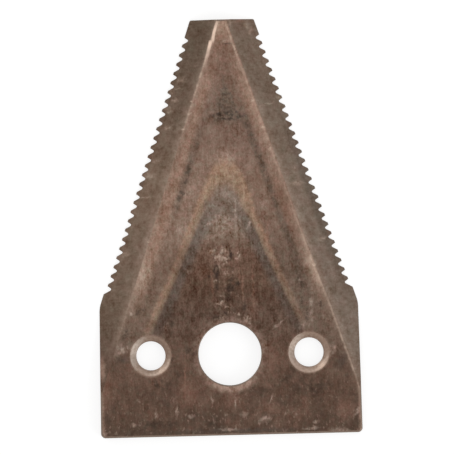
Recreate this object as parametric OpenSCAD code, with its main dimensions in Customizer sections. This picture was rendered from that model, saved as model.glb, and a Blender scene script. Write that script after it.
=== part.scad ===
// Mower sickle section: a hardened steel knife plate with a ground bevel and
// a row of serrations along each cutting edge. Two countersunk rivet holes in
// the base fasten it to the knife bar of a sickle mower.
//
// Millimetres. The plate lies flat with its bevelled face up. The origin is on
// the axis of the centre hole, in the plane of the underside. +Y points to the
// tip of the section and +Z out of the bevelled face.

/* [Plate] */
// Length from the rear edge to the tip edge
section_length = 82.5; // [76:0.5:90]
// Thickness of the steel plate
plate_thickness = 2.4; // [2:0.1:3.2]
// Width across the base at the rear edge
rear_width = 51.9; // [50:0.1:54]
// Width across the base at the shoulders
shoulder_width = 51.4; // [50:0.1:53]
// Width of the blunt edge at the tip
tip_width = 12.7; // [12:0.1:14]
// Angle of each cutting edge to the centre line
edge_angle = 18.6; // [18:0.1:19]

/* [Corners and edges] */
// Radius of the two rear corners
rear_corner_r = 1; // [0.6:0.1:3]
// Radius where a shoulder runs into the side of the base
shoulder_r = 6; // [3:0.5:8]
// Radius of the two tip corners
tip_corner_r = 0.4; // [0.2:0.1:0.8]
// Radius of the rolled upper edge that blanking leaves on the base and the tip
rolled_edge_r = 0.45; // [0.2:0.05:0.55]

/* [Bevels] */
// Width of each ground bevel, square to its cutting edge
bevel_width = 5.25; // [4.5:0.05:5.6]
// Thickness that the bevel leaves at the cutting edge
edge_land = 0.22; // [0.2:0.01:0.3]
// Width by which a shoulder stands out from the line of the tooth tips
shoulder_stock = 0.3; // [0.2:0.02:0.36]

/* [Serrations] */
// Serrations to the inch, counted along the centre line
serrations_per_inch = 14; // [13.5:0.1:14.5]
// Number of serrations on each cutting edge
serration_count = 28; // [20:1:28]
// Distance from the tip edge to the first root of the right-hand row
first_root = 3.75; // [3:0.05:5]
// Distance by which the left-hand row lies further back
row_stagger = 0.3; // [0:0.05:0.5]
// Depth of a tooth gap seen from above, across the section
tooth_depth = 0.9; // [0.7:0.05:1.1]
// Included angle of a serration groove
groove_angle = 100; // [98:1:112]
// Radius at the root of a serration groove
groove_root_r = 0.42; // [0.2:0.02:0.5]
// Length of a serration groove from the cutting edge to where it runs out
groove_length = 6; // [4:0.5:6.5]

/* [Holes] */
// Distance from the rear edge to the line of the holes
hole_setback = 16.1; // [14:0.1:18]
// Distance between the rivet holes
rivet_spacing = 31.4; // [28:0.1:34]
// Diameter of a rivet hole
rivet_hole_d = 5.8; // [5:0.1:6.6]
// Diameter of a rivet hole's countersink at the upper face
countersink_d = 8.2; // [7:0.1:9]
// Included angle of the countersinks
countersink_angle = 90; // [82:1:100]
// Diameter of the centre hole
centre_hole_d = 12.5; // [10:0.1:14]
// Radius of the centre hole's rolled upper edge
hole_roll_r = 0.25; // [0.1:0.05:0.4]

/* [Hidden] */

// Room that a cutting shape has beyond the steel
margin = 1;
// Facets of round shapes in a preview
$fn = 144;
// Share of a round's turn that is left out at each end, so it meets its faces at a small angle
turn_left_out = 0.2;
// Distance by which the roll round a corner lies further out, so it crosses the straight rolls
corner_roll_offset = 0.02;

mm_per_inch = 25.4;
rear_y = -hole_setback;
tip_y = section_length - hole_setback;

// Pitch of the serrations along the centre line
pitch = mm_per_inch / serrations_per_inch;
// Rise of the bevel for each millimetre inward, square to the edge and across the section
bevel_rise = (plate_thickness - edge_land) / bevel_width;
bevel_rise_x = bevel_rise * cos(edge_angle);
bevel_slope = atan(bevel_rise);

// The root of a groove starts at groove_depth on the line of the tooth tips and
// falls to the underside over groove_length. It meets the bevel at tooth_depth.
groove_depth = (edge_land + tooth_depth * bevel_rise_x) / (1 - tooth_depth / groove_length);
groove_tilt = atan(groove_depth / groove_length);

// Half the width at height y, on the line of the tooth tips
function edge_x(y) = tip_width / 2 + (tip_y - y) * tan(edge_angle);
// Height of root number i in the row on the right (side 1) or the left (side -1)
function root_y(side, i) = tip_y - first_root - (side < 0 ? row_stagger : 0) - i * pitch;
// Height at which a shoulder meets the side of the base
shoulder_y = tip_y - (shoulder_width / 2 - shoulder_stock - tip_width / 2) / tan(edge_angle);

// Corners of one half from the rear edge round to the tip: [point, radius]. The
// shoulder runs parallel to the cutting edge and steps in at the last root.
function half_outline(last_y) = [
    [[rear_width / 2, rear_y], rear_corner_r],
    [[shoulder_width / 2, shoulder_y], shoulder_r],
    [[edge_x(last_y) + shoulder_stock, last_y], 0],
    [[edge_x(last_y), last_y], 0],
    [[tip_width / 2, tip_y], tip_corner_r]
];
right_half = half_outline(root_y(1, serration_count - 1));
left_half = half_outline(root_y(-1, serration_count - 1));
last = len(left_half) - 1;
left_mirrored = [for (i = [last : -1 : 0]) [[-left_half[i][0].x, left_half[i][0].y], left_half[i][1]]];

// The whole outline, anticlockwise, and where its rolled edges start
outline = concat(right_half, left_mirrored);
right_rear = 0;
right_tip = last;
left_rear = len(outline) - 1;
left_shoulder = left_rear - 1;

function unit(v) = v / norm(v);
function wrap(i) = (i + len(outline)) % len(outline);
function point(i) = outline[wrap(i)][0];
function radius(i) = outline[wrap(i)][1];
// Directions from corner i along its two edges, and half the angle between them
function back(i) = unit(point(i - 1) - point(i));
function onward(i) = unit(point(i + 1) - point(i));
function half_angle(i) = acos(back(i) * onward(i)) / 2;
function bisector(i) = unit(back(i) + onward(i));
// Distance from the centre of a round to its two faces, for its radius and half of its turn
function centre_reach(r, half_turn) = r * cos(turn_left_out * half_turn);
function reach(i) = centre_reach(radius(i), 90 - half_angle(i));
// Centre of the round at corner i, and the feet of its perpendiculars to the two edges
function round_centre(i) = point(i) + bisector(i) * reach(i) / sin(half_angle(i));
function round_start(i) = point(i) + back(i) * reach(i) / tan(half_angle(i));
function round_end(i) = point(i) + onward(i) * reach(i) / tan(half_angle(i));

// What rounding takes off corner i
module corner_waste(i) {
    difference() {
        polygon([round_start(i), point(i) - bisector(i) * margin, round_end(i), round_centre(i)]);
        translate(round_centre(i)) circle(radius(i));
    }
}

module blank() {
    linear_extrude(plate_thickness)
        difference() {
            polygon([for (corner = outline) corner[0]]);
            for (i = [0 : len(outline) - 1])
                if (radius(i) > 0) corner_waste(i);
        }
}

// Section of what a rolled upper edge lacks. The wall is at x = 0 and the
// steel at positive x.
module roll_profile(r) {
    centre = centre_reach(r, 45);
    difference() {
        translate([-margin, plate_thickness - centre]) square(margin + centre);
        translate([centre, plate_thickness - centre]) circle(r);
    }
}

// Rolls the straight edge that follows corner i
module roll_edge(i) {
    along = round_start(i + 1) - round_end(i);
    translate(round_end(i) - unit(along) * margin)
        rotate([90, 0, atan2(along.y, along.x) + 90])
            linear_extrude(norm(along) + 2 * margin) roll_profile(rolled_edge_r);
}

// Rolls the edge round corner i
module roll_corner(i) {
    spoke = round_start(i) - round_centre(i);
    translate(round_centre(i))
        rotate(atan2(spoke.y, spoke.x))
            rotate_extrude(angle = 180 - 2 * half_angle(i))
                translate([radius(i) + corner_roll_offset, 0])
                    mirror([1, 0]) roll_profile(rolled_edge_r);
}

module rolled_edges() {
    for (i = [right_rear, right_tip, left_shoulder, left_rear]) roll_edge(i);
    for (i = [right_rear, left_rear]) roll_corner(i);
}

// What grinding takes off above the bevel of the right-hand edge
module bevel_cut() {
    inward = bevel_width / cos(bevel_slope) + margin;
    outward = shoulder_stock + margin;
    behind = section_length / cos(edge_angle) + margin;
    ahead = tip_width;
    translate([tip_width / 2, tip_y, edge_land])
        rotate([0, bevel_slope, edge_angle])
            translate([-inward, -behind, 0])
                cube([inward + outward, behind + ahead, 2 * plate_thickness]);
}

// Section of a serration groove: a V with the top of its rounded root at the origin
module groove_profile() {
    flank = groove_angle / 2;
    root_reach = centre_reach(groove_root_r, 90 - flank);
    centre_y = -groove_root_r;
    apex_y = centre_y + root_reach / sin(flank);
    foot = [root_reach * cos(flank), centre_y + root_reach * sin(flank)];
    floor_y = -2 * groove_depth;
    half_width = (apex_y - floor_y) * tan(flank);
    difference() {
        polygon([[0, apex_y], [-half_width, floor_y], [half_width, floor_y]]);
        difference() {
            polygon([foot, [0, apex_y + margin], [-foot.x, foot.y], [0, centre_y]]);
            translate([0, centre_y]) circle(groove_root_r);
        }
    }
}

// One groove in the underside of the right-hand edge, with its root at height y
module groove(y) {
    length = groove_length / cos(groove_tilt) + 2 * margin;
    translate([edge_x(y), y, groove_depth])
        rotate([0, -groove_tilt, 0])
            translate([margin - length, 0, 0])
                rotate([90, 0, 90])
                    linear_extrude(length) groove_profile();
}

// What is ground and cut away along one cutting edge
module cutting_edge(side) {
    mirror([side < 0 ? 1 : 0, 0, 0]) {
        bevel_cut();
        for (i = [0 : serration_count - 1]) groove(root_y(side, i));
    }
}

module rivet_hole() {
    depth = (countersink_d - rivet_hole_d) / 2 / tan(countersink_angle / 2);
    flare = 2 * margin * tan(countersink_angle / 2);
    translate([0, 0, -margin]) cylinder(d = rivet_hole_d, h = plate_thickness + 2 * margin);
    translate([0, 0, plate_thickness - depth])
        cylinder(d1 = rivet_hole_d, d2 = countersink_d + flare, h = depth + margin);
}

module centre_hole() {
    translate([0, 0, -margin]) cylinder(d = centre_hole_d, h = plate_thickness + 2 * margin);
    rotate_extrude() translate([centre_hole_d / 2, 0]) roll_profile(hole_roll_r);
}

module sickle_section() {
    color("#6f5a4b")
        difference() {
            blank();
            rolled_edges();
            cutting_edge(1);
            cutting_edge(-1);
            for (x = [-1, 1]) translate([x * rivet_spacing / 2, 0, 0]) rivet_hole();
            centre_hole();
        }
}

sickle_section();
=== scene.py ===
"""Looks of the mower sickle section: a worn, tempered steel plate lying on a white ground."""

import math

import bmesh
import bpy
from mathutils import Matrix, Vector, noise


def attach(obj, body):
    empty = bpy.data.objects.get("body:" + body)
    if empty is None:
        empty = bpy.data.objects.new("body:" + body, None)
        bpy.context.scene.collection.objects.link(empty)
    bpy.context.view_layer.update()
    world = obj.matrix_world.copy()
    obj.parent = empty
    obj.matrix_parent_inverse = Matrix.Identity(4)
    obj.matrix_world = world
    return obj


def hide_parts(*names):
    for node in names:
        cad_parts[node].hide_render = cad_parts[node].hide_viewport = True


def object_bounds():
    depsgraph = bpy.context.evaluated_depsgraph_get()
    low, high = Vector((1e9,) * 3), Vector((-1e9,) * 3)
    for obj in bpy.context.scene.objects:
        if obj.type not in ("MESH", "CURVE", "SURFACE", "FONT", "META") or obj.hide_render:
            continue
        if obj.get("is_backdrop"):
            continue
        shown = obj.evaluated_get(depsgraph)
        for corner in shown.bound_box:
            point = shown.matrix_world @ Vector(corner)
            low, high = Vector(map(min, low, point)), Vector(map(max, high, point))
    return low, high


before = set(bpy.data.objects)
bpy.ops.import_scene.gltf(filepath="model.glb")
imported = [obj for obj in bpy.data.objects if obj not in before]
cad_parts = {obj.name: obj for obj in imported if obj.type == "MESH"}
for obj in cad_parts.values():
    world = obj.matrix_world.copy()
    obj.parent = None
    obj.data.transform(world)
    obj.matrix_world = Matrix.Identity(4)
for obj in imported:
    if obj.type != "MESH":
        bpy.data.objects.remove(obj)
cad_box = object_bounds()

MM = 0.001

# Sizes of the section in millimetres, in the frame of the solid
TIP_Y = 66.4
TIP_HALF = 6.35
EDGE_ANGLE = math.radians(18.6)
BEVEL_WIDTH = 5.25
RIVET_X = 15.7
COUNTERSINK_R = 4.1
CENTRE_R = 6.25

# Slots of the plate's materials
SCALE, BEVEL, WALL, SEAT, UNDER, GROOVE = range(6)

# Heights of a face's normal that tell the slots apart, and the least area of a bevel in square mm
LEVEL = 0.999
UNDERCUT = -0.05
SEAT_SLOPE = 0.5
BEVEL_SLOPES = (0.9, 0.95)
BEVEL_AREA = 50

# Distance in mm between the lines that rule the upper faces, and the underside
FINE_NET = 0.3
COARSE_NET = 1.5

# Gaps in mm that close when the mesh is merged and cut, and angles that count as flat and as a crease
MERGE_GAP = 0.001
CUT_GAP = 0.0001
FLAT_ANGLE = math.radians(0.05)
CREASE_ANGLE = math.radians(28)

# Depths of the wear in mm, and the place and half width of the nick in the right-hand shoulder
SCALE_RELIEF = 0.007
STREAK_RELIEF = 0.004
PIT_DEPTH = 0.05
WHEEL_WAVES = 0.005
RIDGE_WEAR = 0.03
RIDGE_CHANGE = 0.02
NICK_DEPTH = 0.12
NICK_X = 24.5
NICK_Y = 7.65
NICK_HALF = 0.7

# Colours that more than one mark has, and the sheen of all the steel
SCUFF_PALE = (166, 143, 129)
SIDE_WEAR = (146, 118, 103)
SHEEN = 0.2

# The ground in metres, its grey and its glow, and the light from all round
GROUND_HALF = 4
GROUND_DROP = 0.00005
GROUND_GREY = 0.35
GROUND_GLOW = 0.77
WORLD_LIGHT = 0.6

# Lamps as name, place and size in metres, power in watts and colour, and the point they are aimed at
LAMPS = [("overhead", (0, 0.1, 1.1), 0.6, 0.6, (1, 0.99, 0.98)),
         ("key_right", (0.6, -0.35, 0.38), 0.4, 1.6, (0.96, 0.98, 1)),
         ("fill_left", (-0.55, 0.6, 0.25), 0.35, 0.8, (1, 0.97, 0.94))]
LAMP_AIM = (0, 0.025, 0)

# The camera's place and reach in metres, its turn, and its lens and sensor in mm
CAMERA_PLACE = (0.000136, 0.02511, 0.851)
CAMERA_TURN = math.radians(-1.42)
CAMERA_LENS = 338.7
CAMERA_SENSOR = 36
CAMERA_REACH = 20


def paint(red, green, blue):
    """Linear colour of an sRGB code."""
    def linear(code):
        c = code / 255
        return c / 12.92 if c <= 0.04045 else ((c + 0.055) / 1.055) ** 2.4
    return (linear(red), linear(green), linear(blue), 1)


def soft_step(value, low, high):
    """0 below low, 1 above high, smooth between them."""
    t = min(max((value - low) / (high - low), 0), 1)
    return t * t * (3 - 2 * t)


def from_edge(x, y):
    """Distance in mm from the nearer line of tooth tips."""
    return (TIP_HALF + (TIP_Y - y) * math.tan(EDGE_ANGLE) - abs(x)) * math.cos(EDGE_ANGLE)


# The plate

def zone_of(face):
    """Slot of a face of the solid, from its direction and its place."""
    up = face.normal.z
    centre = face.calc_center_median()
    if up > LEVEL:
        return SCALE
    if up < -LEVEL:
        return UNDER
    if up < UNDERCUT:
        return GROOVE
    near_rivet = abs(abs(centre.x) - RIVET_X) < COUNTERSINK_R and abs(centre.y) < COUNTERSINK_R
    if near_rivet and up > SEAT_SLOPE:
        return SEAT
    if BEVEL_SLOPES[0] < up < BEVEL_SLOPES[1] and face.calc_area() > BEVEL_AREA:
        return BEVEL
    return WALL


def extent(face, axis):
    """Lowest and highest place of a face along one axis."""
    places = [corner.co[axis] for corner in face.verts]
    return min(places), max(places)


def rule_faces(bm, slots, axis, step):
    """Cuts the faces of some slots along evenly spaced lines square to one axis."""
    normal = Vector((axis == 0, axis == 1, 0))
    waiting = [face for face in bm.faces if face.material_index in slots]
    low = min(extent(face, axis)[0] for face in waiting)
    high = max(extent(face, axis)[1] for face in waiting)
    count = round((high - low) / step)
    for i in range(1, count):
        line = low + (high - low) * i / count
        spans = [(face, *extent(face, axis)) for face in waiting]
        crossed = [face for face, first, last in spans if first < line < last]
        waiting = [face for face, first, last in spans if first >= line]
        edges = {edge for face in crossed for edge in face.edges}
        corners = {corner for face in crossed for corner in face.verts}
        geometry = [*crossed, *edges, *corners]
        cut = bmesh.ops.bisect_plane(bm, geom=geometry, dist=CUT_GAP, plane_co=normal * line, plane_no=normal)
        parts = [part for part in cut["geom"] if isinstance(part, bmesh.types.BMFace)]
        waiting += [face for face in parts if extent(face, axis)[1] > line + MERGE_GAP]


def scale_height(x, y):
    """Relief of the upper face in mm: scale, rolling streaks and a strip of pits."""
    height = SCALE_RELIEF * noise.fractal(Vector((x / 1.5, y / 1.8, 0)), 1, 2, 3)
    height += STREAK_RELIEF * noise.noise(Vector((x / 0.7, y / 16, 5)))
    strip = soft_step(x, -5, -3) * soft_step(-x, -4.5, -1.5) * soft_step(y, 8, 11) * soft_step(-y, -29, -25)
    pit = soft_step(noise.noise(Vector((x / 0.8, y / 1.1, 9))), 0.05, 0.45)
    return height - PIT_DEPTH * strip * pit


def bevel_height(x, y):
    """Relief of a bevel in mm: the waves that the grinding wheel left."""
    along = y / math.cos(EDGE_ANGLE)
    return WHEEL_WAVES * noise.noise(Vector((along / 1.8, from_edge(x, y) / 9, math.copysign(3, x))))


def wear_plate(bm):
    """Gives the upper faces their relief, rounds the ridges over the bevels and nicks one shoulder."""
    for corner in bm.verts:
        slots = {face.material_index for face in corner.link_faces}
        x, y = corner.co.x, corner.co.y
        if slots == {SCALE}:
            clear = min(math.hypot(x, y) - CENTRE_R, math.hypot(abs(x) - RIVET_X, y) - COUNTERSINK_R)
            corner.co.z += scale_height(x, y) * soft_step(clear, 0.2, 0.8)
        elif slots == {BEVEL}:
            corner.co.z += bevel_height(x, y) * soft_step(from_edge(x, y), 1.2, 2)
        elif slots == {SCALE, BEVEL}:
            corner.co.z -= RIDGE_WEAR + RIDGE_CHANGE * noise.noise(Vector((x / 2, y / 2, 1)))
        if x > NICK_X and slots & {WALL, BEVEL}:
            corner.co.x -= NICK_DEPTH * soft_step(-abs(y - NICK_Y), -NICK_HALF, 0)


def worn_plate():
    """The solid with a fine net of faces, worn and in six materials."""
    bm = bmesh.new()
    bm.from_mesh(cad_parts["sickle_section"].data)
    bmesh.ops.scale(bm, vec=(1 / MM,) * 3, verts=bm.verts[:])
    bmesh.ops.remove_doubles(bm, verts=bm.verts[:], dist=MERGE_GAP)
    bmesh.ops.dissolve_limit(bm, angle_limit=FLAT_ANGLE, verts=bm.verts[:], edges=bm.edges[:])
    bm.normal_update()
    for face in bm.faces:
        face.material_index = zone_of(face)
        face.smooth = True
    for edge in bm.edges:
        edge.smooth = edge.calc_face_angle() < CREASE_ANGLE
    for axis in (0, 1):
        rule_faces(bm, {SCALE, BEVEL}, axis, FINE_NET)
        rule_faces(bm, {UNDER}, axis, COARSE_NET)
    wear_plate(bm)
    bmesh.ops.scale(bm, vec=(MM,) * 3, verts=bm.verts[:])
    mesh = bpy.data.meshes.new("worn_section")
    bm.to_mesh(mesh)
    bm.free()
    plate = bpy.data.objects.new("worn_section", mesh)
    bpy.context.collection.objects.link(plate)
    return plate


# The materials

class Steel:
    """Nodes of one steel surface. Each method adds nodes and returns an output."""

    def __init__(self, name):
        self.material = bpy.data.materials.new(name)
        self.material.use_nodes = True
        self.tree = self.material.node_tree
        self.shader = self.tree.nodes["Principled BSDF"]
        place = self.add("ShaderNodeTexCoord").outputs["Object"]
        self.mm = self.vector("SCALE", place, scale=1 / MM)
        axes = self.add("ShaderNodeSeparateXYZ", Vector=self.mm)
        self.x, self.y, self.z = axes.outputs

    def add(self, kind, *ordered, **named):
        node = self.tree.nodes.new(kind)
        for key, value in list(enumerate(ordered)) + list(named.items()):
            self.join(node.inputs[key], value)
        return node

    def join(self, socket, value):
        if isinstance(value, bpy.types.NodeSocket):
            self.tree.links.new(value, socket)
        elif value is not None:
            socket.default_value = value

    def vector(self, operation, *ordered, scale=None):
        node = self.tree.nodes.new("ShaderNodeVectorMath")
        node.operation = operation
        for i, value in enumerate(ordered):
            self.join(node.inputs[i], value)
        if scale is not None:
            self.join(node.inputs["Scale"], scale)
        return node.outputs["Value" if operation in ("LENGTH", "DOT_PRODUCT") else "Vector"]

    def math(self, operation, *ordered):
        node = self.tree.nodes.new("ShaderNodeMath")
        node.operation = operation
        for i, value in enumerate(ordered):
            self.join(node.inputs[i], value)
        return node.outputs[0]

    def sum(self, *terms):
        total = terms[0]
        for term in terms[1:]:
            total = self.math("ADD", total, term)
        return total

    def times(self, *factors):
        product = factors[0]
        for factor in factors[1:]:
            product = self.math("MULTIPLY", product, factor)
        return product

    def distance(self, across, up):
        """Distance from a point, from the two steps that lead to it."""
        return self.math("SQRT", self.sum(self.times(across, across), self.times(up, up)))

    def span(self, value, low, high, start=0, end=1, smooth=True):
        """Value carried from low..high to start..end, held at both ends."""
        node = self.tree.nodes.new("ShaderNodeMapRange")
        node.interpolation_type = "SMOOTHSTEP" if smooth else "LINEAR"
        for i, setting in enumerate((value, low, high, start, end)):
            self.join(node.inputs[i], setting)
        return node.outputs[0]

    def band(self, value, centre, half, soft):
        """1 within half of the centre, falling to 0 over soft."""
        off = self.math("ABSOLUTE", self.math("SUBTRACT", value, centre))
        return self.span(off, half, half + soft, 1, 0)

    def cloud(self, size, stretch=(1, 1), detail=2, rough=0.5, shift=0):
        """Noise node with grains of a size in mm, longer along an axis by stretch."""
        node = self.tree.nodes.new("ShaderNodeMapping")
        self.join(node.inputs["Vector"], self.mm)
        node.inputs["Location"].default_value = (shift * 3.7, shift * 5.3, shift * 7.1)
        node.inputs["Scale"].default_value = [1 / size / part for part in (*stretch, 1)[:3]]
        return self.add("ShaderNodeTexNoise", Vector=node.outputs[0], Scale=1, Detail=detail, Roughness=rough)

    def grain(self, size, stretch=(1, 1), detail=2, rough=0.5, shift=0):
        """Noise from 0 to 1, about 0.5."""
        return self.cloud(size, stretch, detail, rough, shift).outputs[0]

    def mix(self, share, below, above, blend="MIX"):
        """Colour between two colours."""
        node = self.tree.nodes.new("ShaderNodeMix")
        node.data_type = "RGBA"
        node.blend_type = blend
        self.join(node.inputs[0], share)
        self.join(node.inputs[6], below)
        self.join(node.inputs[7], above)
        return node.outputs[2]

    def between(self, share, below, above):
        """Number between two numbers."""
        node = self.tree.nodes.new("ShaderNodeMix")
        self.join(node.inputs[0], share)
        self.join(node.inputs[2], below)
        self.join(node.inputs[3], above)
        return node.outputs[0]

    def ramp(self, value, stops):
        """Ramp node from stops of (value, colour)."""
        low, high = stops[0][0], stops[-1][0]
        node = self.tree.nodes.new("ShaderNodeValToRGB")
        self.join(node.inputs[0], self.span(value, low, high, smooth=False))
        elements = node.color_ramp.elements
        while len(elements) < len(stops):
            elements.new(1)
        for element, (at, colour) in zip(elements, stops):
            element.position = (at - low) / (high - low)
            element.color = colour
        return node

    def colours(self, value, stops):
        """Colour of a value, from stops of (value, colour)."""
        return self.ramp(value, stops).outputs["Color"]

    def levels(self, value, stops):
        """Level of a value, from stops of (value, level)."""
        return self.ramp(value, [(at, (1, 1, 1, level)) for at, level in stops]).outputs["Alpha"]

    def gains(self, colour, amount, strengths):
        """Colour with its red, green and blue made stronger by an amount, each at its own strength."""
        factors = [self.math("MULTIPLY_ADD", amount, strength, 1) for strength in strengths]
        return self.mix(1, colour, self.add("ShaderNodeCombineColor", *factors).outputs[0], "MULTIPLY")

    def shade(self, colour, amount):
        """Colour made lighter or darker by an amount about 0, by like steps in red, green and blue."""
        return self.gains(colour, amount, (0.8, 1, 1.16))

    def tint(self, colour, field, strength):
        """Colour turned a little towards violet brown or green grey by a field of noise."""
        turn = self.math("SUBTRACT", field, 0.5)
        return self.gains(colour, turn, (strength, -0.6 * strength, -0.2 * strength))

    def bump(self, height, depth_mm):
        return self.add("ShaderNodeBump", Height=height, Distance=depth_mm * MM).outputs[0]

    def finish(self, colour, rough, metallic, normal):
        self.join(self.shader.inputs["Base Color"], colour)
        self.join(self.shader.inputs["Roughness"], rough)
        self.join(self.shader.inputs["Metallic"], metallic)
        self.join(self.shader.inputs["Normal"], normal)
        self.join(self.shader.inputs["Specular IOR Level"], SHEEN)
        return self.material


class FaceSteel(Steel):
    """Nodes of a broad face, with the fields that its marks follow."""

    def __init__(self, name):
        super().__init__(name)
        self.left = self.edge_distance(-1)
        self.right = self.edge_distance(1)
        self.edge = self.math("MINIMUM", self.left, self.right)
        self.on_right = self.span(self.x, -0.4, 0.4)
        self.to_right = self.span(self.x, -3, 3)
        self.fine = self.grain(0.34, (1, 1.3), rough=0.6)
        self.medium = self.grain(0.9, (1, 1.3), detail=3, rough=0.6, shift=1)
        self.broad = self.grain(4.5, detail=3, shift=2)
        self.blots = self.span(self.grain(1, detail=4, rough=0.6, shift=4), 0.3, 0.7)
        wobble = self.vector("SUBTRACT", self.cloud(0.8, shift=14).outputs["Color"], (0.5, 0.5, 0.5))
        self.ragged = self.vector("MULTIPLY_ADD", wobble, (1.1, 1.1, 0), self.mm)
        self.turned = {}

    def edge_distance(self, side):
        """Distance in mm from the line of tooth tips on one side."""
        run = self.math("MULTIPLY_ADD", self.y, -math.sin(EDGE_ANGLE),
                        (TIP_HALF + TIP_Y * math.tan(EDGE_ANGLE)) * math.cos(EDGE_ANGLE))
        return self.math("MULTIPLY_ADD", self.x, -side * math.cos(EDGE_ANGLE), run)

    def by_side(self, value, left, right):
        """Level of a value, from one list of stops on the left and another on the right."""
        return self.between(self.on_right, self.levels(value, left), self.levels(value, right))

    def patch(self, x, y, half_long, half_wide, turn=0, core=0):
        """A soft ragged ellipse round (x, y), its long axis turned from +X by some degrees."""
        along = Vector((math.cos(math.radians(turn)), math.sin(math.radians(turn)), 0))
        across = Vector((-along.y, along.x, 0))
        if turn not in self.turned:
            axes = [self.vector("DOT_PRODUCT", self.ragged, axis) for axis in (along, across)]
            self.turned[turn] = self.add("ShaderNodeCombineXYZ", *axes).outputs[0]
        centre = Vector((x, y, 0))
        shares = (1 / half_long, 1 / half_wide, 0)
        start = (-centre.dot(along) / half_long, -centre.dot(across) / half_wide, 0)
        off = self.vector("MULTIPLY_ADD", self.turned[turn], shares, start)
        return self.span(self.vector("LENGTH", off), core, 1, 1, 0)

    def patches(self, places, core=0):
        """Several patches in one mask."""
        total = self.patch(*places[0], core=core)
        for place in places[1:]:
            total = self.math("MAXIMUM", total, self.patch(*place, core=core))
        return total

    def stain(self, colour, places, strength, stain_colour, core=0):
        """Colour with patches of another colour laid over it."""
        return self.mix(self.times(self.patches(places, core), strength), colour, paint(*stain_colour))

    def ridge_shine(self):
        """Burnished ridges with a painted highlight: a soft glow beside a brighter broken line, stronger at
        some heights.
        """
        glow = self.by_side(self.edge,
                            [(4, 0), (4.5, 0.16), (4.9, 0.42), (5.25, 1), (5.6, 0.85), (6, 0.38), (6.5, 0)],
                            [(4.5, 0), (5, 0.22), (5.3, 0.6), (5.6, 1), (5.9, 0.85), (6.3, 0.4), (7, 0)])
        along = self.by_side(self.y,
                             [(-1, 0), (5, 0.1), (10, 0.2), (17, 0.15), (24, 0.1), (36, 0.04), (43, 0.05),
                              (50, 0.2), (57, 0.3), (63, 0.3)],
                             [(-9, 0.06), (4, 0.06), (12, 0.14), (18, 0.34), (26, 0.2), (34, 0.12),
                              (42, 0.24), (47, 0.14), (52, 0.2), (58, 0.18), (63, 0.15)])
        inward = self.times(self.on_right, self.span(self.y, 10, 18))
        line = self.band(self.edge, self.math("MULTIPLY_ADD", inward, 0.3, BEVEL_WIDTH + 0.03), 0.05, 0.26)
        bright = self.by_side(self.y,
                              [(0, 0), (8, 0.1), (16, 0.06), (44, 0.05), (52, 0.32), (62, 0.32)],
                              [(-9, 0.36), (3, 0.34), (6, 0.28), (13, 0.28), (18, 0.2), (40, 0.1), (55, 0.22),
                               (58, 0.14), (60.6, 0.46), (62, 0.34), (64, 0.36), (65.4, 0.08)])
        shine = self.times(self.sum(self.times(glow, along), self.times(line, bright)), self.broken())
        return self.sum(shine, self.times(self.patches(PAINTED_RIDGE_GLINTS), 0.55))

    def broken(self):
        """Level that breaks up a burnished, highlit line."""
        return self.span(self.grain(0.9, detail=2, rough=0.55, shift=8), 0.35, 0.62, 0.55, 1.2)

    def tip_shine(self):
        """The left-hand ridge at the tip, burnished and carrying a bright painted highlight, in two lengths
        with a step outwards below a nick.
        """
        above_in = self.levels(self.y, [(62.2, 0.6), (63, 0.45), (63.8, 0.33), (65.4, 0.29)])
        above_on = self.levels(self.y, [(61.6, 0), (62.2, 0.7), (63, 0.8), (64.4, 0.92), (65.4, 0.5),
                                        (66.2, 0.1)])
        above = self.times(self.band(self.left, self.sum(above_in, BEVEL_WIDTH - 0.25), 0.12, 0.28), above_on)
        below_in = self.levels(self.y, [(59.4, 0.43), (60.2, 0.32), (61.4, 0.28), (62.4, 0.15)])
        below_on = self.levels(self.y, [(57.2, 0), (59.4, 0.4), (60.2, 0.52), (61, 0.9), (61.8, 1),
                                        (62.2, 0.6), (62.4, 0)])
        below = self.times(self.band(self.left, self.sum(below_in, BEVEL_WIDTH - 0.25), 0.15, 0.3), below_on)
        return self.math("MAXIMUM", above, below)

    def burnished_and_highlit(self, colour, shine):
        """Colour with the burnished ridges and their painted highlights over it."""
        # Painted highlight over burnished steel along the ridges, and a near-white painted highlight at the
        # tip
        colour = self.mix(shine, colour, paint(196, 172, 154))
        return self.mix(self.tip_shine(), colour, paint(238, 208, 188))


# Marks as (x, y, half length, half width, turn in degrees), in mm

# Painted highlight: bright glints dotted along the ridges
PAINTED_RIDGE_GLINTS = [(-6.4, 50.2, 0.5, 0.35), (-6.9, 47.8, 0.5, 0.4), (-8.3, 44.8, 0.5, 0.35), (7.6, 44.9, 0.5, 0.4),
              (8.9, 40.6, 0.5, 0.4), (5.8, 50.2, 0.5, 0.35), (-15.6, 22.6, 0.5, 0.3),
              (17.2, 17.3, 0.7, 0.35, -70)]

PIT_FLOORS = [(-2.3, 16.2, 2.7, 0.8, 92), (0.2, 13, 1.4, 1.2), (1.8, 13.9, 0.7, 0.6),
              (-2.4, 13.2, 1.3, 0.6, 90), (0.6, 19.8, 1.3, 0.5, 100), (-0.6, 8.2, 0.7, 0.4, 140),
              (3, 9.5, 1.3, 0.7, 90), (-3.8, 15.5, 0.6, 0.3), (0.6, 14.8, 1, 0.6, 30)]

PIT_RIMS = [(-3, 20.6, 1.5, 1.1, 30), (-2, 19.3, 1.4, 1, 50), (-0.8, 20.8, 1, 1.4), (-0.5, 18.8, 1.1, 1.4),
            (0.2, 16.3, 1.4, 0.9, 30), (2, 19.5, 1.8, 0.7, 90), (-2.4, 14.4, 0.8, 0.6),
            (-0.3, 8.9, 1.6, 0.8, 140), (1.8, 8.2, 1.1, 0.9), (-1.8, 10.5, 1.8, 1.3, 60),
            (-1.8, 7.1, 1.4, 0.8), (3.6, 7.2, 1.3, 0.9)]

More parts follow.
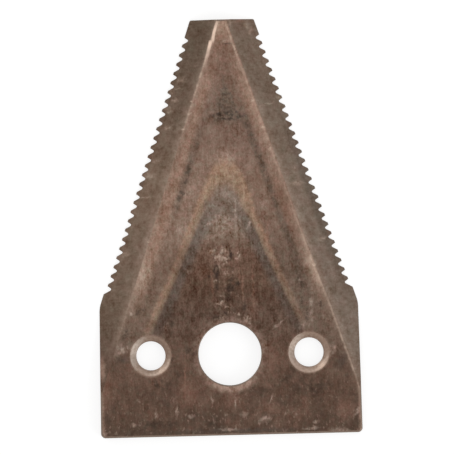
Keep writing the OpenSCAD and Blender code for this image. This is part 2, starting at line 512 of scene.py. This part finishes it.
DARK_MARKS = [(-11.4, 6.6, 4, 0.9, 88), (0.7, 12.6, 3.2, 1.8, 80), (14.2, 14, 4, 1, -70),
              (-9, 18.9, 2.4, 0.9, 62), (-16, -13.6, 6, 2.2), (-3, 7.4, 3, 1.2), (17, -7, 6, 2.8),
              (15.4, 7, 2.8, 0.9, 80), (3, 46.9, 1.6, 0.8, 90), (-14, -5.8, 4, 2), (-11.7, -1, 3.4, 0.9, 90),
              (-17.6, 8.8, 2, 1, 20), (-20.6, 4.6, 2.4, 1, 60), (-12, -13.4, 2, 1.6), (14.4, 10, 2, 0.8, 80),
              (11, -5, 3, 1.4, 40), (-4, -13.6, 3, 1.4), (-8, 0.6, 3, 2.2), (0.9, 61.6, 1.5, 0.4, 8),
              (18.2, 9.7, 1.8, 1, -70), (-8.1, 31.9, 1.1, 0.7)]

COOL_MARKS = [(-21.4, -0.6, 2.2, 1), (22.2, -1.6, 2.4, 1.5, 60), (0, -15.2, 25, 0.7),
              (-4.2, 29.8, 1.7, 0.8, 60)]

WARM_MARKS = [(-8, -7.8, 6, 4.5), (8.4, -0.5, 3, 4.5), (22.5, -11, 3, 3), (0, -9, 3, 3.4), (4.8, 9, 1.5, 4),
              (-24.6, -6, 8, 1.6, 90), (8, -11, 3.4, 1.8), (0.5, 61.3, 1.8, 0.8),
              (-5, 16.5, 2.5, 1.8)]

SCUFFS = [(-10.8, -11, 2.2, 0.4, 90), (2.6, -12, 1.2, 0.8), (-0.6, -15, 2.8, 0.4), (15.6, -15.1, 2.8, 0.5, 3),
          (25, -11.8, 1.6, 0.5, 60), (9.75, 5.75, 2, 0.4, 40), (-21, 1.3, 2.6, 1, 20),
          (-15, -11.6, 1.4, 0.4, 85), (20.4, 0.5, 2, 1, 70), (0.8, -9, 2.4, 0.35, 88),
          (8, -9, 1.6, 0.35, 62), (6.7, -13, 2, 1.1, 25), (21.6, -15.7, 2.8, 0.8), (1.7, 28.5, 3.4, 0.5, 90),
          (-3.4, 26, 1.8, 0.6, 20), (-3.8, -9.4, 1.6, 0.35, 90), (2.2, 26.4, 1.8, 0.7, -30),
          (-1, 27.2, 2, 0.6, -10), (4.4, 25.6, 1.4, 0.5, 60), (-19.3, 8.4, 0.7, 0.6),
          (0.9, 62.35, 1.5, 0.5, 12), (-19.4, -13.6, 0.9, 0.6), (-8, -12.2, 1, 0.6), (16.3, 10, 1.6, 0.7, 75),
          (-25.4, -15.4, 1, 0.7), (16.8, -13.8, 0.9, 0.6), (-3, 20.7, 0.9, 0.7)]

PALE_SPOTS = [(-9.8, 24.8, 2.2, 1.7), (-6.6, 29.8, 1.6, 1.2), (7.5, 29, 2.2, 1.4, 80),
              (16.2, 7, 2.6, 1.3, 80), (0, 26, 4, 2.2), (-7.4, 27, 2.2, 1, 70), (1, 62.4, 1.6, 0.6),
              (0, 39, 3, 2), (6.9, 1.8, 2, 0.8, 90), (14.6, 5.4, 1.6, 0.8, 60), (-22.6, 1.4, 2.6, 1.8),
              (6.6, 26.9, 2, 0.9, -70), (14.2, 14.4, 1, 0.7), (16.4, 12.4, 1.5, 0.8, -70),
              (0.6, -7.5, 1.7, 0.8), (20.5, 0.8, 1.5, 0.9), (-7.9, 16.6, 1.3, 1), (19.1, 6.6, 1.4, 0.8, -70),
              (-12.6, 5.6, 1.4, 0.7, 70)]

BEVEL_SCUFFS = [(-8.3, 54.6, 1.5, 0.9), (-9.8, 50.6, 1.2, 0.7), (-10.9, 48.7, 1.5, 1),
                (-11.2, 45.2, 1.3, 0.8), (-15, 35.8, 1.7, 1.1), (-13.6, 38.6, 1.2, 0.7),
                (-20.3, 20.4, 1.3, 0.9), (-15.7, 31.5, 2.6, 0.35, 3), (4.8, 65, 1.2, 0.7, -50),
                (1.5, 65.7, 1.3, 0.8, 20), (14, 33.5, 2.4, 0.7, 6), (9, 49.5, 1.8, 0.3, 12),
                (-9.5, 53, 2.2, 0.3, -10), (13.6, 36, 1.6, 0.5, 70), (19, 22.5, 1.4, 0.6, 20),
                (5.6, 63.8, 1, 0.6, 70), (-10.5, 52.3, 1.2, 0.8), (10.9, 50.6, 0.8, 0.6)]

RED_LINES = [(2.2, 15.5, 2.6, 0.35, 90), (2.9, 13, 5, 0.4, 90), (4.9, 13.5, 7, 0.35, 90),
             (8.1, 24, 6, 0.3, 88), (-3.2, 14, 5, 0.3, 90), (-9, -4, 6, 0.3, 90)]


def across_rivet(s):
    """Step in mm along X from the nearer rivet hole's axis, below 0 on its inner side."""
    return s.math("SUBTRACT", s.math("ABSOLUTE", s.x), RIVET_X)


def base_share(s):
    """1 over the base of the section, falling to 0 at a ragged line across it."""
    return s.span(s.sum(s.y, s.times(s.blots, 2)), 4, -1)


def leg_colours(s):
    """Scale between the ridges and the temper lines, lightest where the legs meet and at the tip."""
    left = s.colours(s.y, [(2, paint(106, 86, 73)), (9, paint(112, 91, 77)), (18, paint(115, 92, 78)),
                           (24, paint(131, 107, 92)), (33, paint(136, 111, 96)), (42, paint(122, 98, 84)),
                           (50, paint(121, 98, 85)), (55, paint(123, 97, 83)), (60, paint(121, 94, 80)),
                           (65, paint(151, 122, 104))])
    right = s.colours(s.y, [(2, paint(104, 84, 71)), (9, paint(105, 86, 73)), (18, paint(105, 85, 72)),
                            (26, paint(121, 97, 83)), (34, paint(126, 101, 86)), (42, paint(121, 96, 83)),
                            (50, paint(119, 96, 82)), (55, paint(124, 99, 85)), (60, paint(122, 95, 81)),
                            (65, paint(151, 122, 104))])
    return s.mix(s.to_right, left, right)


def core_colours(s, heat):
    """Scale inside the temper lines: grey under their apex, brown over the base, darkest beside them."""
    core = s.colours(s.y, [(-15, paint(85, 66, 54)), (-8, paint(94, 72, 59)), (0, paint(97, 75, 62)),
                           (8, paint(90, 69, 57)), (14, paint(91, 68, 54)), (20, paint(105, 79, 65)),
                           (25, paint(132, 111, 96)), (29, paint(125, 105, 90)), (34, paint(134, 115, 100))])
    rim = s.colours(s.y, [(2, paint(84, 67, 57)), (18, paint(92, 76, 66)), (26, paint(107, 91, 80)),
                          (34, paint(132, 112, 98))])
    return s.mix(s.times(s.band(heat, 0.7, 0.4, 1.5), s.span(s.y, 1, 6)), core, rim)


def temper_heat(s):
    """Distance in mm inside the line where the dark temper colours start, below 0 outside it."""
    drift = s.sum(s.times(s.grain(4, detail=3, shift=5), 0.7), s.times(s.blots, 0.2), -0.45)
    near = s.math("SMOOTH_MIN", s.sum(s.left, drift), s.sum(s.right, drift), 17)
    rise = s.span(s.y, 17, 28, 0, 0.7, smooth=False)
    left_line = s.sum(s.span(s.y, 4, 17, 11.3, 12.85, smooth=False), rise)
    right_line = s.sum(s.span(s.y, 4, 17, 11.75, 13.4, smooth=False), rise, s.span(s.y, 28, 35, 0, -0.5))
    return s.math("SUBTRACT", near, s.between(s.to_right, left_line, right_line))


def temper_colours(s, heat, base):
    """The legs and the core with the straw line between them, rose outside and olive inside."""
    inside = s.math("MAXIMUM", s.span(heat, -0.45, 0.4), base)
    colour = s.mix(inside, leg_colours(s), core_colours(s, heat))
    colour = s.stain(colour, [(0, 38.6, 4.5, 3.4)], 0.65, (147, 121, 105))
    rose = s.colours(s.y, [(6, paint(132, 104, 87)), (12, paint(142, 113, 94)), (18, paint(138, 109, 91)),
                           (26, paint(155, 124, 103)), (36, paint(156, 126, 104))])
    olive = s.colours(s.y, [(6, paint(127, 105, 87)), (12, paint(138, 113, 92)), (18, paint(131, 107, 88)),
                            (26, paint(146, 123, 102)), (36, paint(152, 126, 104))])
    centre = s.between(s.to_right, s.span(s.y, 10, 34, -1.1, -0.85), s.span(s.y, 10, 34, -0.65, -0.8))
    strength = s.by_side(s.y, [(1, 0), (6, 0.9), (11, 0.95), (18, 0.76), (26, 0.9), (34, 1)],
                         [(2, 0), (8, 0.4), (15, 0.65), (20, 1)])
    line = s.times(s.band(heat, centre, 0.25, 0.85), strength, s.span(s.blots, 0, 0.8, 0.6, 1.05))
    return s.mix(line, colour, s.mix(s.span(s.math("SUBTRACT", heat, centre), -0.3, 0.4), rose, olive))


def leg_shadows(s, colour):
    """Dark lines along the legs, the dark wedge where they meet and the soot across its foot."""
    strength = s.by_side(s.y, [(14, 0), (27, 0.03), (31.5, 0.88), (37, 0.8), (43, 0.36), (50, 0)],
                         [(8, 0), (16, 0.3), (24, 0.55), (34, 0.55), (40, 0.72), (46, 0.62), (50, 0.05)])
    line = s.times(s.band(s.edge, 8.4, 0.2, 1), strength, s.span(s.blots, 0.15, 0.75, 0.5, 1.2))
    colour = s.mix(line, colour, paint(86, 72, 61))
    specks = s.span(s.grain(0.75, (1.2, 1), detail=2, rough=0.55, shift=15), 0.6, 0.36)
    reach = s.times(s.math("SUBTRACT", 54.6, s.y), 0.36)
    off = s.math("ABSOLUTE", s.math("MULTIPLY_ADD", s.y, 0.06, s.math("SUBTRACT", s.x, 3.3)))
    wedge = s.span(s.sum(off, s.times(s.blots, 1.2), -0.6), s.sum(reach, -0.5), s.sum(reach, 0.6), 1, 0)
    wedge = s.times(wedge, s.span(s.y, 45.2, 46.8))
    colour = s.mix(s.times(wedge, s.span(s.y, 48.5, 51, 0.5, 0.78)), colour, paint(109, 93, 80))
    colour = s.mix(s.times(wedge, specks, 0.5), colour, paint(72, 61, 53))
    soot = s.times(s.patch(0.9, 47.3, 4.6, 1.1, 0, 0.5), s.span(specks, 0, 0.6, 0.2, 0.7))
    return s.mix(soot, colour, paint(60, 51, 44))


def rose_bands(s, colour):
    """Lighter rose bands along the inner side of the ridges, flushed on the right and pale low down."""
    across = s.by_side(s.edge, [(4.8, 0.4), (5.7, 0.55), (6.5, 1), (7.1, 0.9), (7.6, 0.5), (8.4, 0)],
                       [(4.8, 0.9), (5.9, 1), (6.4, 0.95), (7, 0.68), (7.6, 0.28), (8.2, 0)])
    along = s.by_side(s.y,
                      [(2, 0), (9, 0.12), (16, 0.9), (26, 1), (36, 0.82), (42, 0.7), (52, 0.92), (58, 0.32),
                       (64, 0.2)],
                      [(2, 0), (8, 0.15), (17, 0.6), (26, 0.15), (34, 0.12), (42, 0.6), (50, 1), (58, 0.4),
                       (64, 0.2)])
    colour = s.mix(s.times(across, along), colour, paint(146, 116, 99))
    colour = s.stain(colour, [(11.7, 30, 10, 1.9, -71.4)], 0.9, (121, 92, 76), core=0.15)
    return s.stain(colour, [(-17, 16.4, 7.6, 2.6, 71), (16.9, 17, 6, 1.5, -71)], 0.8, (162, 138, 121))


def pitted_strip(s, colour):
    """A strip of pits above the centre hole, brown at the bottom, with cream flakes at the rims."""
    strip = s.math("MAXIMUM", s.patch(-0.8, 18.8, 5.6, 4.4, 90), s.times(s.patch(0, 11, 6, 4, 90), 0.75))
    lumps = s.grain(0.9, (1, 1.6), detail=3, rough=0.6, shift=9)
    colour = s.mix(s.times(strip, s.span(lumps, 0.52, 0.66), 0.6), colour, paint(140, 115, 100))
    colour = s.mix(s.times(strip, s.span(lumps, 0.48, 0.35), 0.85), colour, paint(60, 44, 35))
    flakes = s.grain(0.7, (1, 1.2), detail=3, rough=0.6, shift=19)
    colour = s.stain(colour, PIT_RIMS, s.span(flakes, 0.46, 0.6, 0, 0.75), (164, 139, 123), core=0.25)
    return s.stain(colour, PIT_FLOORS, s.span(lumps, 0.62, 0.44, 0.45, 0.95), (50, 36, 29), core=0.3)


def hole_rims(s, colour):
    """Rubbed scale round the centre hole, widest below it, where it is partly wear and partly a painted
    highlight on the lower rim, and round the countersinks.
    """
    out = s.distance(s.x, s.y)
    around = s.span(s.medium, 0.3, 0.7, 0.5, 1.1)
    colour = s.mix(s.times(s.span(out, 7.9, 6.6), around, 0.6), colour, paint(140, 114, 101))
    # Below the centre hole: rubbed scale with a painted highlight on the lower rim
    below = s.times(s.span(out, 8.2, 6.8), s.span(s.math("DIVIDE", s.y, out), -0.6, -0.95), around)
    colour = s.mix(s.times(below, 0.75), colour, paint(166, 138, 122))
    colour = s.stain(colour, [(3.6, 6.3, 1.2, 0.6, -30)], 0.6, (156, 132, 118))
    seat = s.distance(across_rivet(s), s.y)
    return s.mix(s.times(s.span(seat, 4.5, 4.05), 0.5), colour, paint(146, 122, 107))


def side_rims(s, colour):
    """Thin broken lines of wear along the sides of the base."""
    side = s.span(s.math("ABSOLUTE", s.x), 24.9, 25.6)
    wear_and_highlight = s.times(side, s.span(s.y, 1, -1), s.span(s.medium, 0.3, 0.6, 0.3, 0.85))
    return s.mix(wear_and_highlight, colour, paint(*SIDE_WEAR))


def scuffed(s, colour):
    """Dark, cool and warm stains, red lines, and pale scuffs and scratches."""
    ragged = s.span(s.grain(0.6, (1, 1.4), detail=2, rough=0.5, shift=7), 0.36, 0.62, 0.3, 1)
    colour = s.stain(colour, WARM_MARKS, 0.55, (122, 91, 77))
    colour = s.stain(colour, DARK_MARKS, s.times(s.span(s.blots, 0.2, 0.85), 0.75), (60, 46, 37))
    colour = s.stain(colour, COOL_MARKS, 0.6, (76, 65, 58))
    colour = s.stain(colour, RED_LINES, 0.6, (132, 99, 83))
    colour = s.stain(colour, PALE_SPOTS, s.times(ragged, 0.45), SCUFF_PALE)
    return s.stain(colour, SCUFFS, s.times(ragged, 0.75), SCUFF_PALE)


def base_flecks(s, colour, base):
    """Red and dark clouds over the base, with flecks that thicken towards the rear edge."""
    clouds = s.grain(3, (1, 1.4), detail=3, rough=0.6, shift=17)
    colour = s.mix(s.times(base, s.span(clouds, 0.5, 0.68), 0.45), colour, paint(114, 86, 72))
    colour = s.mix(s.times(base, s.span(clouds, 0.5, 0.34), 0.5), colour, paint(66, 51, 42))
    flecks = s.grain(0.5, (1, 1.8), detail=2, rough=0.55, shift=16)
    rear = s.span(s.y, -3, -13, 0.3, 1)
    colour = s.mix(s.times(base, rear, s.span(flecks, 0.58, 0.72), 0.5), colour, paint(142, 119, 105))
    return s.mix(s.times(base, s.span(flecks, 0.42, 0.3), 0.3), colour, paint(62, 47, 38))


def scale_material():
    """Upper face: scale in temper colours that follow the cutting edges, darker over the base."""
    s = FaceSteel("tempered_scale")
    heat = temper_heat(s)
    base = base_share(s)
    colour = temper_colours(s, heat, base)
    colour = rose_bands(s, leg_shadows(s, colour))
    colour = base_flecks(s, pitted_strip(s, colour), base)
    colour = scuffed(s, side_rims(s, hole_rims(s, colour)))

    streaks = s.grain(0.45, (1, 8), detail=3, rough=0.65, shift=3)
    mottle = s.grain(2, (1, 1.3), detail=3, rough=0.55, shift=11)
    core = s.times(s.span(heat, -0.5, 1), s.span(s.y, 0, 8), 0.4)
    grain = s.sum(s.times(s.fine, 1.25), s.times(s.medium, 1.35), s.times(mottle, 1.1), s.times(s.broad, 0.4),
                  s.times(streaks, 0.9), -2.5)
    colour = s.shade(colour, s.times(grain, s.sum(core, s.times(base, -0.25), 1)))
    colour = s.tint(colour, s.grain(0.9, detail=3, rough=0.6, shift=12), 0.3)

    # The ridges' painted highlight over burnished steel, which also makes them smoother
    shine = s.ridge_shine()
    colour = s.burnished_and_highlit(colour, shine)
    rough = s.sum(s.times(s.medium, 0.3), s.times(shine, -0.12), 0.35)
    normal = s.bump(s.sum(s.fine, s.medium, s.times(streaks, 0.4)), 0.02)
    return s.finish(colour, rough, metallic=0.5, normal=normal)


def bevel_material():
    """Ground bevels: grey steel with faint grinding lines across and a burnished ridge."""
    s = FaceSteel("ground_bevel")
    # The left bevel is painted darker than the right: painted shade, for the light falling from the right
    left = s.colours(s.y, [(4, paint(102, 84, 71)), (10, paint(106, 88, 74)), (20, paint(117, 98, 84)),
                           (34, paint(118, 98, 83)), (42, paint(109, 90, 76)), (50, paint(103, 85, 72)),
                           (62, paint(97, 81, 68))])
    right = s.colours(s.y, [(4, paint(117, 101, 89)), (18, paint(115, 98, 86)), (34, paint(119, 102, 89)),
                            (50, paint(112, 95, 82)), (62, paint(115, 97, 84))])
    colour = s.mix(s.on_right, left, right)
    dull = s.times(s.span(s.right, 2.5, 1.3), s.on_right,
                   s.levels(s.y, [(8, 0), (16, 0.5), (24, 0.9), (36, 0.9), (44, 0.6), (50, 0)]))
    colour = s.mix(dull, colour, paint(100, 86, 75))
    # Painted highlight: a glow that rises across the bevel towards the ridge
    painted_ridge_glow = s.times(s.span(s.edge, 3.4, 5.25), s.span(s.y, 58, 46, 0.1, 1), 0.35)
    colour = s.mix(painted_ridge_glow, colour, paint(150, 128, 113))
    darkened = s.span(s.math("MULTIPLY_ADD", s.on_right, 8, s.y), 5, -1)
    colour = s.mix(darkened, colour, paint(98, 77, 65))
    soft = s.span(s.grain(0.6, detail=2, shift=7), 0.36, 0.62, 0.35, 0.85)
    colour = s.stain(colour, BEVEL_SCUFFS, soft, (152, 132, 117))
    colour = s.stain(colour, [(3.8, 66, 2.4, 0.6), (5.9, 64.4, 0.8, 0.9)], 0.6, (136, 107, 94))
    colour = s.stain(colour, [(-25.4, -2.4, 3.4, 0.9, 90)], 0.75, SIDE_WEAR, core=0.2)

    lines = s.grain(0.4, (9, 1), detail=3, rough=0.7, shift=3)
    grain = s.sum(s.times(s.fine, 0.6), s.times(s.medium, 1.25), s.times(s.broad, 0.8), s.times(lines, 0.7),
                  -1.675)
    colour = s.tint(s.shade(colour, grain), s.grain(1.6, detail=3, shift=12), 0.15)
    # The ridges' painted highlight over burnished steel, which also makes them smoother
    shine = s.times(s.ridge_shine(), s.math("SUBTRACT", 1, darkened))
    colour = s.burnished_and_highlit(colour, shine)
    rough = s.sum(s.times(s.medium, 0.25), s.times(shine, -0.1), 0.32)
    normal = s.bump(s.sum(s.times(s.fine, 0.5), lines), 0.012)
    return s.finish(colour, rough, metallic=0.7, normal=normal)


def wall_material():
    """Sheared walls and rolled edges: a burnished band over a duller break, redder at the tip's right."""
    s = Steel("sheared_edge")
    lines = s.grain(0.4, (1, 1, 8), detail=3, rough=0.6)
    medium = s.grain(1.2, (1, 1, 3), detail=3, shift=1)
    sheared = s.span(s.math("MULTIPLY_ADD", medium, 1.2, s.z), 1.5, 1.9)
    colour = s.mix(sheared, paint(104, 85, 73), paint(126, 108, 95))
    tip = s.times(s.span(s.y, 64, 65.5), s.span(s.x, -0.5, 1.5))
    colour = s.mix(s.times(tip, 0.7), colour, paint(146, 118, 104))
    colour = s.shade(colour, s.sum(s.times(lines, 0.7), s.times(medium, 0.3), -0.5))
    rough = s.sum(s.times(lines, 0.2), s.times(sheared, -0.1), 0.42)
    return s.finish(colour, rough, metallic=0.7, normal=s.bump(lines, 0.015))


def seat_material():
    """Countersinks: turned steel in painted light, with painted highlights low down and at the left and
    painted shade above.
    """
    s = Steel("bright_countersink")
    fine = s.grain(0.5, detail=2, rough=0.5)
    across = s.times(across_rivet(s), s.math("SIGN", s.x))
    out = s.distance(across, s.y)
    # Bright paint over the whole seat stands in for the lamps' reflection in the turned cone
    colour = s.colours(out, [(2.9, paint(172, 151, 136)), (3.4, paint(181, 160, 145)),
                             (3.8, paint(186, 164, 149)), (4.1, paint(148, 124, 109))])
    # Painted shade over the upper right of each seat
    darkened = s.span(s.sum(across, s.y), 0, 4)
    colour = s.mix(s.times(darkened, 0.65), colour, paint(148, 124, 108))
    # Painted reflection: cool light at the left of each seat
    cool = s.span(s.sum(s.times(across, -1), s.times(s.y, 0.3)), 1.5, 3.4)
    colour = s.mix(s.times(cool, 0.6), colour, paint(190, 179, 168))
    # Painted highlight: a bright arc low down on the right of each seat
    low = s.span(s.sum(s.times(across, 0.7), s.times(s.y, -1)), 2.4, 3.8)
    arc = s.times(s.band(out, 3.65, 0.12, 0.3), low, s.span(s.grain(1.2, shift=2), 0.4, 0.6, 0.2, 0.6))
    colour = s.mix(arc, colour, paint(222, 202, 186))
    # The right-hand seat painted a little brighter, and a painted highlight low on its inner side
    colour = s.mix(s.span(s.x, 0, 1, 0, 0.16), colour, paint(198, 174, 158))
    wear_and_highlight = s.times(s.span(s.x, 0, 1), s.span(s.sum(across, s.y), -3.7, -5), 0.35)
    colour = s.mix(wear_and_highlight, colour, paint(206, 182, 168))
    colour = s.shade(colour, s.sum(s.times(fine, 0.8), -0.4))
    rough = s.sum(s.times(fine, 0.2), 0.28)
    return s.finish(colour, rough, metallic=0.7, normal=s.bump(fine, 0.01))


def under_material():
    """Underside: plain scale with the temper line, rubbed where it lies on the knife bar."""
    s = FaceSteel("under_scale")
    heat = temper_heat(s)
    base = base_share(s)
    inside = s.math("MAXIMUM", s.span(heat, -0.6, 0.6), base)
    colour = s.mix(inside, paint(118, 96, 82), paint(94, 73, 61))
    line = s.times(s.band(heat, -0.9, 0.2, 0.8), s.span(s.y, 1, 7))
    colour = s.mix(s.times(line, 0.8), colour, paint(138, 111, 93))
    wear_and_highlight = s.grain(3.5, (1.8, 1), detail=5, rough=0.62, shift=6)
    rubbed = s.times(s.span(s.y, 7, 2), s.span(wear_and_highlight, 0.42, 0.68))
    colour = s.mix(s.times(rubbed, 0.5), colour, paint(122, 101, 88))
    streaks = s.grain(0.5, (1, 14), detail=3, rough=0.65, shift=3)
    grain = s.sum(s.times(s.fine, 1.1), s.times(s.medium, 0.9), s.times(s.broad, 0.5), s.times(streaks, 0.8),
                  -1.65)
    colour = s.tint(s.shade(colour, grain), s.grain(1.2, detail=3, shift=12), 0.25)
    rough = s.sum(s.times(s.medium, 0.3), s.times(rubbed, -0.1), 0.36)
    return s.finish(colour, rough, metallic=0.5, normal=s.bump(s.sum(s.fine, streaks), 0.012))


def groove_material():
    """Flanks of the serrations: cut steel, a little browned."""
    s = Steel("cut_serration")
    fine = s.grain(0.4, detail=3, rough=0.6)
    medium = s.grain(1.5, detail=3, shift=1)
    colour = s.mix(s.span(medium, 0.35, 0.65), paint(112, 95, 83), paint(136, 119, 106))
    colour = s.shade(colour, s.sum(s.times(fine, 0.4), -0.2))
    rough = s.sum(s.times(fine, 0.2), 0.32)
    return s.finish(colour, rough, metallic=0.8, normal=s.bump(fine, 0.006))


# The ground, the light and the camera

def white_ground():
    """A wide white floor that still shows the section's shadow."""
    bm = bmesh.new()
    bmesh.ops.create_grid(bm, x_segments=1, y_segments=1, size=GROUND_HALF)
    bmesh.ops.translate(bm, vec=(0, 0, -GROUND_DROP), verts=bm.verts[:])
    mesh = bpy.data.meshes.new("white_ground")
    bm.to_mesh(mesh)
    bm.free()
    ground = bpy.data.objects.new("white_ground", mesh)
    bpy.context.collection.objects.link(ground)
    material = bpy.data.materials.new("white_ground")
    material.use_nodes = True
    tree = material.node_tree
    tree.nodes.clear()
    diffuse = tree.nodes.new("ShaderNodeBsdfDiffuse")
    diffuse.inputs["Color"].default_value = (GROUND_GREY, GROUND_GREY, GROUND_GREY, 1)
    glow = tree.nodes.new("ShaderNodeEmission")
    seen = background_rays(tree)
    strength = tree.nodes.new("ShaderNodeMath")
    strength.operation = "MULTIPLY"
    tree.links.new(seen, strength.inputs[0])
    strength.inputs[1].default_value = GROUND_GLOW
    tree.links.new(strength.outputs[0], glow.inputs["Strength"])
    both = tree.nodes.new("ShaderNodeAddShader")
    tree.links.new(diffuse.outputs[0], both.inputs[0])
    tree.links.new(glow.outputs[0], both.inputs[1])
    out = tree.nodes.new("ShaderNodeOutputMaterial")
    tree.links.new(both.outputs[0], out.inputs["Surface"])
    mesh.materials.append(material)
    ground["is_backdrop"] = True


def background_rays(tree):
    """1 for rays that show the background to the camera, directly or by reflection."""
    path = tree.nodes.new("ShaderNodeLightPath")
    total = path.outputs["Is Camera Ray"]
    for name in ("Is Glossy Ray", "Is Transmission Ray"):
        node = tree.nodes.new("ShaderNodeMath")
        node.operation = "MAXIMUM"
        tree.links.new(total, node.inputs[0])
        tree.links.new(path.outputs[name], node.inputs[1])
        total = node.outputs[0]
    return total


def soft_world():
    """Even light from all round, white where it is seen."""
    world = bpy.data.worlds.new("soft_world")
    bpy.context.scene.world = world
    world.use_nodes = True
    tree = world.node_tree
    level = tree.nodes.new("ShaderNodeMapRange")
    tree.links.new(background_rays(tree), level.inputs["Value"])
    level.inputs["To Min"].default_value = WORLD_LIGHT
    level.inputs["To Max"].default_value = 1
    tree.links.new(level.outputs[0], tree.nodes["Background"].inputs["Strength"])
    tree.nodes["Background"].inputs["Color"].default_value = (1, 1, 1, 1)


def soft_lamp(name, place, size, power, colour):
    """A square lamp aimed at the middle of the section."""
    lamp = bpy.data.lights.new(name, "AREA")
    lamp.size = size
    lamp.energy = power
    lamp.color = colour
    lamp_object = bpy.data.objects.new(name, lamp)
    bpy.context.collection.objects.link(lamp_object)
    lamp_object.location = place
    aim = Vector(LAMP_AIM) - Vector(place)
    lamp_object.rotation_euler = aim.to_track_quat("-Z", "Y").to_euler()
    lamp_object.visible_camera = False


def camera_above():
    """A long lens straight above the section, turned a little about the upright axis."""
    camera = bpy.data.cameras.new("camera_above")
    camera.lens = CAMERA_LENS
    camera.sensor_width = CAMERA_SENSOR
    camera.clip_end = CAMERA_REACH
    camera_object = bpy.data.objects.new("camera_above", camera)
    bpy.context.collection.objects.link(camera_object)
    camera_object.location = CAMERA_PLACE
    camera_object.rotation_euler = (0, 0, CAMERA_TURN)
    bpy.context.scene.camera = camera_object


plate = worn_plate()
for finish in (scale_material, bevel_material, wall_material, seat_material, under_material, groove_material):
    plate.data.materials.append(finish())
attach(plate, "root")
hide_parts("sickle_section")

white_ground()
soft_world()
for lamp in LAMPS:
    soft_lamp(*lamp)
camera_above()
bpy.context.scene.view_settings.view_transform = "Standard"

boxes = {"cad": cad_box, "visual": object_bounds()}
{name: [list(corner) for corner in box] for name, box in boxes.items()}
